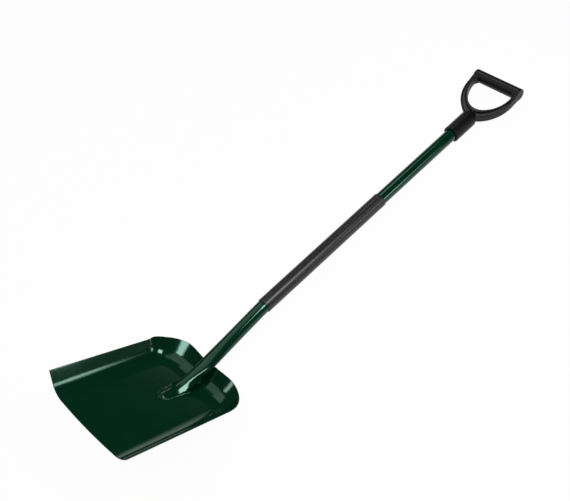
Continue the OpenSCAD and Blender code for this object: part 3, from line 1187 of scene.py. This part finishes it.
@dataclass
class DGrip(Piece):
    """Moulded D-grip: ribbed bow, hand bar, gussets, neck and socket, run together with soft edges."""

    bow_w: float = 0.121
    bow_h: float = 0.116
    bow_arch_r: float = 0.085
    bow_arch_y: float = 0.081
    hand_w: float = 0.1035
    hand_arch_r: float = 0.066
    hand_arch_y: float = 0.088
    hand_low_r: float = 0.037
    gusset: Route = ((0.0514, 0.0905), (0.0503, 0.0928), (0.0480, 0.0950), (0.0455, 0.0990),
                     (0.0440, 0.1040))
    arm_top: Tuple[float, ...] = (0.087, 0.0925, 0.098, 0.1035, 0.109)
    bow_depth: float = 0.019
    web: float = 0.011
    inner_rib: float = 0.0034
    foot_rib: float = 0.0050
    foot_rib_w: float = 0.045
    outer_rib: float = 0.0020
    rib_step: float = 0.0005
    arm_round: float = 0.0008
    rib_round: float = 0.0005
    groove_round: float = 0.0010
    least_groove: float = 0.0004
    groove_end: float = 0.0935
    groove_fade: float = 0.010
    bar_swell: float = 0.0030
    swell_y: float = 0.088
    swell_l: float = 0.016
    shoulder_w: float = 0.0068
    shoulder_y: float = 0.1052
    end_round: float = 0.0010
    neck: float = 0.018
    bore_r: float = 0.0141
    bore_fit: float = 0.0003
    voxel: float = 0.0008
    low_steps: int = 12
    arch_steps: int = 40
    bow_steps: int = 70

    @staticmethod
    def arc(radius: float, x: float, y: float, start: float, stop: float,
            steps: int) -> List[Tuple[float, float]]:
        """Points of an arc.

        Args:
            radius: Its radius.
            x: Sideways place of its centre.
            y: Place of its centre along the bow.
            start: Angle of the first point.
            stop: Angle of the last point.
            steps: Number of steps.

        Returns:
            The points, both ends included.
        """
        turns = [start + (stop - start) * k / steps for k in range(steps + 1)]
        return [(x + radius * math.cos(a), y + radius * math.sin(a)) for a in turns]

    def inner_line(self) -> List[Tuple[float, float]]:
        """Edge of the hand opening, from its lowest place up the right arm to the bar.

        Returns:
            Places in the bow's frame.
        """
        swing = self.hand_arch_r - self.hand_w / 2
        turn = math.acos(swing / (self.hand_arch_r - self.hand_low_r))
        low_y = self.hand_arch_y - (self.hand_arch_r - self.hand_low_r) * math.sin(turn)
        low = self.arc(self.hand_low_r, 0.0, low_y, -math.pi / 2, -turn, self.low_steps)
        arch = self.arc(self.hand_arch_r, -swing, self.hand_arch_y, -turn, 0.0, self.arch_steps)
        return low[:-1] + arch + list(self.gusset)

    def outer_line(self) -> List[Tuple[float, float]]:
        """Outer edge of the bow, from its root up the right arm to the shoulder.

        Returns:
            Places in the bow's frame.
        """
        swing = self.bow_arch_r - self.bow_w / 2
        turn = math.acos(swing / self.bow_arch_r)
        arch = self.arc(self.bow_arch_r, -swing, self.bow_arch_y, -turn, 0.0, self.arch_steps)
        return arch + [(self.bow_w / 2, y) for y in self.arm_top]

    @staticmethod
    def spaced(line: Sequence[Tuple[float, float]], count: int) -> List[Vector]:
        """Points at even spacing along a line.

        Args:
            line: Corners of the line.
            count: Number of steps.

        Returns:
            The points, both ends included.
        """
        run = [0.0]
        for (ax, ay), (bx, by) in zip(line, line[1:]):
            run.append(run[-1] + math.hypot(bx - ax, by - ay))
        xs = list(zip(run, (x for x, _ in line)))
        ys = list(zip(run, (y for _, y in line)))
        return [Vector((between(xs, run[-1] * k / count), between(ys, run[-1] * k / count), 0.0))
                for k in range(count + 1)]

    def section(self, across: float, open_share: float, swell: float,
                flange: float) -> List[Tuple[float, float]]:
        """Cross-section of an arm: tall inner rib, groove and lower outer rib, the same on both faces.

        Args:
            across: Width of the arm.
            open_share: Depth of the groove, from 0 closed to 1 full.
            swell: Added to half the depth, where the arm runs into the bar.
            flange: Width of the inner rib.

        Returns:
            Places across the arm and through its depth.
        """
        tall = self.bow_depth / 2 + swell
        less = tall - self.rib_step * open_share
        web = less - (less - self.web / 2) * open_share
        rib, lip = flange, self.outer_rib
        groove = max(self.least_groove, across - rib - lip)
        a, b, c = self.arm_round, self.rib_round, min(self.groove_round, groove * 0.3)
        inner = [(0.0, tall - a), (0.3 * a, tall - 0.3 * a), (a, tall), (rib - b, tall),
                 (rib - 0.3 * b, tall - 0.3 * b), (rib, tall - b),
                 (rib + 0.2 * c, web + min(c, tall - b - web)), (rib + 0.5 * c, web + 0.3 * c),
                 (rib + 1.2 * c, web)]
        edge = across - lip
        outer = [(edge - 1.2 * c, web), (edge - 0.5 * c, web + 0.3 * c),
                 (edge - 0.2 * c, web + min(c, less - b - web)), (edge, less - b),
                 (edge + 0.3 * b, less - 0.3 * b), (edge + b, less), (across - a, less),
                 (across - 0.3 * a, less - 0.3 * a), (across, less - a)]
        face = inner + outer
        return face + [(u, -w) for u, w in reversed(face)]

    def bow(self) -> bpy.types.Object:
        """Loft the two arms and the foot of the bow as one run.

        Returns:
            The arms.
        """
        count = self.bow_steps
        inner, outer = self.spaced(self.inner_line(), count), self.spaced(self.outer_line(), count)
        rings = []
        for k in range(-count, count + 1):
            near, far = inner[abs(k)].copy(), outer[abs(k)].copy()
            if k < 0:
                near.x, far.x = -near.x, -far.x
            across = (far - near).length
            out = (far - near) / across
            open_share = clamp((self.groove_end - near.y) / self.groove_fade)
            swell = self.bar_swell * clamp((near.y - self.swell_y) / self.swell_l)
            flange = self.inner_rib + self.foot_rib * max(0.0, 1.0 - abs(near.x) / self.foot_rib_w)
            outline = self.section(across, open_share, swell, flange)
            rings.append([near + u * out + Vector((0.0, 0.0, w)) for u, w in outline])
        obj = Bench.loft("grip_moulding", rings)
        Bench.lay(obj, LINE.bow)
        return obj

    def bar(self) -> bpy.types.Object:
        """Turn the hand bar, with rounded ends and a block at each shoulder.

        Returns:
            The bar.
        """
        obj = Bench.cylinder("grip_bar", LINE.bar_r, self.bow_w, (0.0, math.pi / 2, 0.0), LINE.bar_y)
        Bench.ease(obj, self.end_round, 4)
        for side in Side:
            x = side.value * (self.bow_w / 2 - self.shoulder_w / 2)
            Bench.clear()
            bpy.ops.mesh.primitive_cube_add(size=1.0, location=(x, self.shoulder_y, 0.0))
            block = Bench.take("grip_shoulder")
            block.scale = (self.shoulder_w, 2 * (self.bow_h - self.shoulder_y), self.bow_depth)
            Bench.fix(block)
            Bench.ease(block, self.end_round)
            obj = Bench.join([obj, block])
        Bench.lay(obj, LINE.bow)
        return obj

    def socket(self) -> bpy.types.Object:
        """Turn the socket with its bore and tapered neck.

        Returns:
            The socket.
        """
        mouth, root = LINE.upper_l, LINE.upper_l + LINE.socket_l
        obj = Bench.cylinder("grip_socket", LINE.socket_r, LINE.socket_l, (-math.pi / 2, 0.0, 0.0),
                             mouth + LINE.socket_l / 2)
        Bench.edit(obj)
        Bench.pick(obj, Pick.FACES, lambda p: p.y > root - NEAR)
        Bench.extrude(y=self.neck)
        shrink = self.bow_depth / 2 / LINE.socket_r
        bpy.ops.transform.resize(value=(shrink, 1.0, shrink), center_override=(0.0, root, 0.0))
        Bench.pick(obj, Pick.FACES, lambda p: p.y < mouth + NEAR)
        bpy.ops.mesh.inset(thickness=LINE.socket_r - self.bore_r - self.bore_fit, depth=0.0)
        Bench.extrude(y=LINE.socket_depth)
        Bench.clear()
        Bench.lay(obj, LINE.upper)
        return obj

    def build(self) -> bpy.types.Object:
        """Model the grip.

        Returns:
            The piece.
        """
        obj = Bench.join([self.bow(), self.bar(), self.socket()])
        Bench.fuse(obj, self.voxel, 3)
        Bench.smooth(obj, 60.0)
        return obj


@dataclass(frozen=True)
class SoftLight:
    """One rectangular soft light."""

    name: str
    place: Tuple[float, float, float]
    aim: Tuple[float, float, float]
    wide: float
    high: float
    power: float
    beam: float = 180.0

    def build(self) -> None:
        """Hang the light."""
        data = bpy.data.lights.new(self.name, "AREA")
        data.shape = "RECTANGLE"
        data.size, data.size_y = self.wide, self.high
        data.energy = self.power
        data.spread = math.radians(self.beam)
        lamp = bpy.data.objects.new(self.name, data)
        lamp.location = self.place
        lamp.rotation_euler = (Vector(self.aim) - Vector(self.place)).to_track_quat("-Z", "Y").to_euler()
        bpy.context.scene.collection.objects.link(lamp)


@dataclass
class Studio:
    """Pale floor, soft lights, dim surroundings and the camera."""

    floor_w: float = 80.0
    pale: Tuple[float, float] = (0.78, 0.82)
    speck_scale: float = 40.0
    white: float = 0.97
    sky: float = 0.04
    lens: float = 55.345
    frame_w: int = 570
    eye: Tuple[float, float, float] = (0.88442519, -0.65887498, 1.44854501)
    turn: Tuple[float, float, float, float] = (0.88317052, 0.26345289, 0.19647005, 0.33466690)
    lights: List[SoftLight] = field(default_factory=lambda: [
        SoftLight("top_left", (-0.55, -0.22, 1.55), (-0.55, -0.22, 0.0), 1.10, 1.04, 3.8),
        SoftLight("top_far_left", (-1.70, 0.07, 1.55), (-1.70, 0.07, 0.0), 1.20, 1.32, 6.4),
        SoftLight("top_front", (-0.23, -0.95, 1.50), (-0.07, -0.34, 0.01), 0.40, 0.34, 5.8),
        SoftLight("right_back", (0.72, 0.21, 1.28), (0.0, -0.2, 0.05), 0.46, 0.46, 11.0),
        SoftLight("low_back", (1.2945, 0.8345, 0.4875), (-0.11, -0.55, 0.14), 0.30, 0.305, 2.7),
        SoftLight("low_back_rear", (1.129, 1.005, 0.52), (-0.11, -0.52, 0.11), 0.18, 0.27, 0.60),
        SoftLight("strip_left", (-1.15, -0.84, 0.92), (0.065, -0.34, 0.01), 0.13, 0.26, 0.80),
        SoftLight("left_low", (-2.05, 1.65, 0.17), (0.05, -0.48, 0.07), 1.70, 0.36, 1.2),
        SoftLight("left_mid", (-2.05, 1.65, 0.43), (0.05, -0.48, 0.07), 1.70, 0.17, 0.40),
        SoftLight("left_high", (-2.05, 1.65, 0.557), (0.05, -0.48, 0.07), 1.70, 0.085, 0.12),
        SoftLight("grip_soft", (-0.65, 1.00, 1.30), (0.0, 0.55, 0.04), 0.50, 0.50, 0.22, 36.0),
    ])

    def floor(self) -> None:
        """Lay the floor: white to the eye, with a trace of the object's shadow."""
        Bench.clear()
        bpy.ops.mesh.primitive_plane_add(size=self.floor_w, location=(0.0, 0.0, 0.0))
        obj = Bench.take("studio_floor")
        material, graph = Finish("pale_floor").start()
        speck = graph.noise(graph.place(), self.speck_scale, 3.0)
        low, high = self.pale
        colour = graph.mix(speck, (low, low, low, 1.0), (high, high, high, 1.0))
        matt = graph.out("ShaderNodeBsdfDiffuse", 0, None, {"Color": colour})
        white = graph.out("ShaderNodeEmission", 0, None, {"Color": (1.0, 1.0, 1.0, 1.0), "Strength": 1.0})
        path = graph.node("ShaderNodeLightPath")
        eye, gloss, glass = (Wire(graph, path.outputs[f"Is {ray} Ray"])
                             for ray in ("Camera", "Glossy", "Transmission"))
        share = graph.ramp((eye + gloss + glass) * self.white, 0.0, 1.0)
        shader = graph.out("ShaderNodeMixShader", 0, None, {0: share, 1: matt, 2: white})
        graph.node("ShaderNodeOutputMaterial", None, {"Surface": shader})
        obj.data.materials.append(material)

    def surroundings(self) -> None:
        """Dim grey surroundings beyond the floor."""
        world = bpy.data.worlds.new("studio_air")
        world.use_nodes = True
        bpy.context.scene.world = world
        graph = Graph(world.node_tree)
        dim = graph.out("ShaderNodeBackground", 0, None,
                        {"Color": (1.0, 1.0, 1.0, 1.0), "Strength": self.sky})
        graph.node("ShaderNodeOutputWorld", None, {"Surface": dim})

    def camera(self) -> None:
        """Set up the camera at the photograph's place."""
        data = bpy.data.cameras.new("eye")
        data.sensor_fit = "HORIZONTAL"
        data.sensor_width = 36.0
        data.lens = self.lens
        data.shift_x = -0.5 / self.frame_w
        data.shift_y = 0.5 / self.frame_w
        data.clip_start, data.clip_end = 0.01, 100.0
        eye = bpy.data.objects.new("eye", data)
        eye.location = self.eye
        eye.rotation_euler = Quaternion(self.turn).to_euler()
        bpy.context.scene.collection.objects.link(eye)
        bpy.context.scene.camera = eye

    def build(self) -> None:
        """Set up the whole studio."""
        bpy.context.scene.view_settings.view_transform = "Standard"
        self.camera()
        self.floor()
        self.surroundings()
        for light in self.lights:
            light.build()


def main() -> None:
    """Build the studio and every piece in order."""
    logging.basicConfig(level=logging.INFO, format="%(name)s: %(message)s")
    Studio().build()
    paint = GlossPaint("green_enamel").material()
    weld_paint = GlossPaint("green_enamel_on_weld", gloss=0.08, wave=0.0004).material()
    sleeve = SatinPlastic("sleeve_satin", streak=(1.0, 0.03, 1.0)).material()
    grip = SatinPlastic("grip_satin", deep=(0.0045, 0.0045, 0.0045, 1.0),
                        bloom=(0.0070, 0.0070, 0.0070, 1.0), gloss=0.34, shine=0.20).material()
    pieces: List[Tuple[Piece, bpy.types.Material]] = [
        (Pan("pan", Slot.STEEL), paint),
        (Shaft("shaft", Slot.STEEL), paint),
        (SideWeld("weld_left", Slot.WELD, side=Side.LEFT, swell=0.5, seed=3), weld_paint),
        (SideWeld("weld_right", Slot.WELD, side=Side.RIGHT, swell=0.9, seed=8), weld_paint),
        (TipWeld("weld_tip", Slot.WELD, seed=5), weld_paint),
        (ShaftSleeve("shaft_sleeve", Slot.SLEEVE), sleeve),
        (DGrip("d_grip", Slot.GRIP), grip),
    ]
    for piece, material in pieces:
        piece.dress(piece.build(), material)
    Bench.clear()


if __name__ == "__main__":
    main()
